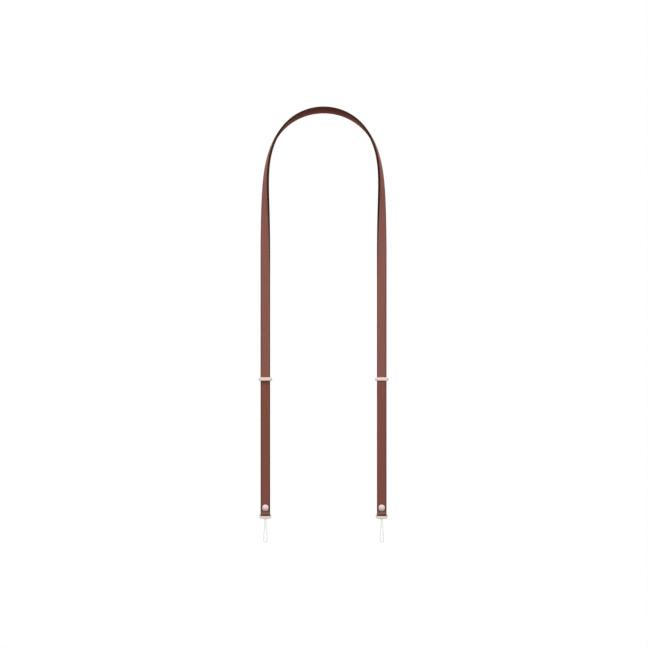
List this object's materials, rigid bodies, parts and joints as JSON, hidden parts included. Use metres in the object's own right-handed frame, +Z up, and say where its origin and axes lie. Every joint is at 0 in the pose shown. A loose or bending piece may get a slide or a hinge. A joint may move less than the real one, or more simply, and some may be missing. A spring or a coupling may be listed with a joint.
{
  "type": "phone crossbody strap",
  "caption": "Crossbody phone strap: overlapping flat woven bands hung in an arch, with metal sliders, slotted end rings, domed studs and thin cord loops for a phone case.",
  "frame": {"origin": "where the strap rests on a shoulder: the middle of the inner band's inner face at the top of the arch", "axes": "+Z up, along the hanging legs; +X to the right as seen from the front; -Y to the front, away from the wearer"},
  "size_m": [0.1802, 0.0512, 0.6052],
  "materials": {
    "webbing": "tightly woven polyester webbing, reddish brown, dark selvedges",
    "steel": "satin nickel-plated steel, slightly warm",
    "cord": "fine off-white braided cord"
  },
  "bodies": {
    "root": {"inner_band": "webbing", "outer_band": "webbing", "slider_left": "steel", "slider_right": "steel", "end_ring_left": "steel", "end_ring_right": "steel", "stud_left": "steel", "stud_right": "steel", "cord_loop_left": "cord", "cord_loop_right": "cord"}
  },
  "joints": []
}
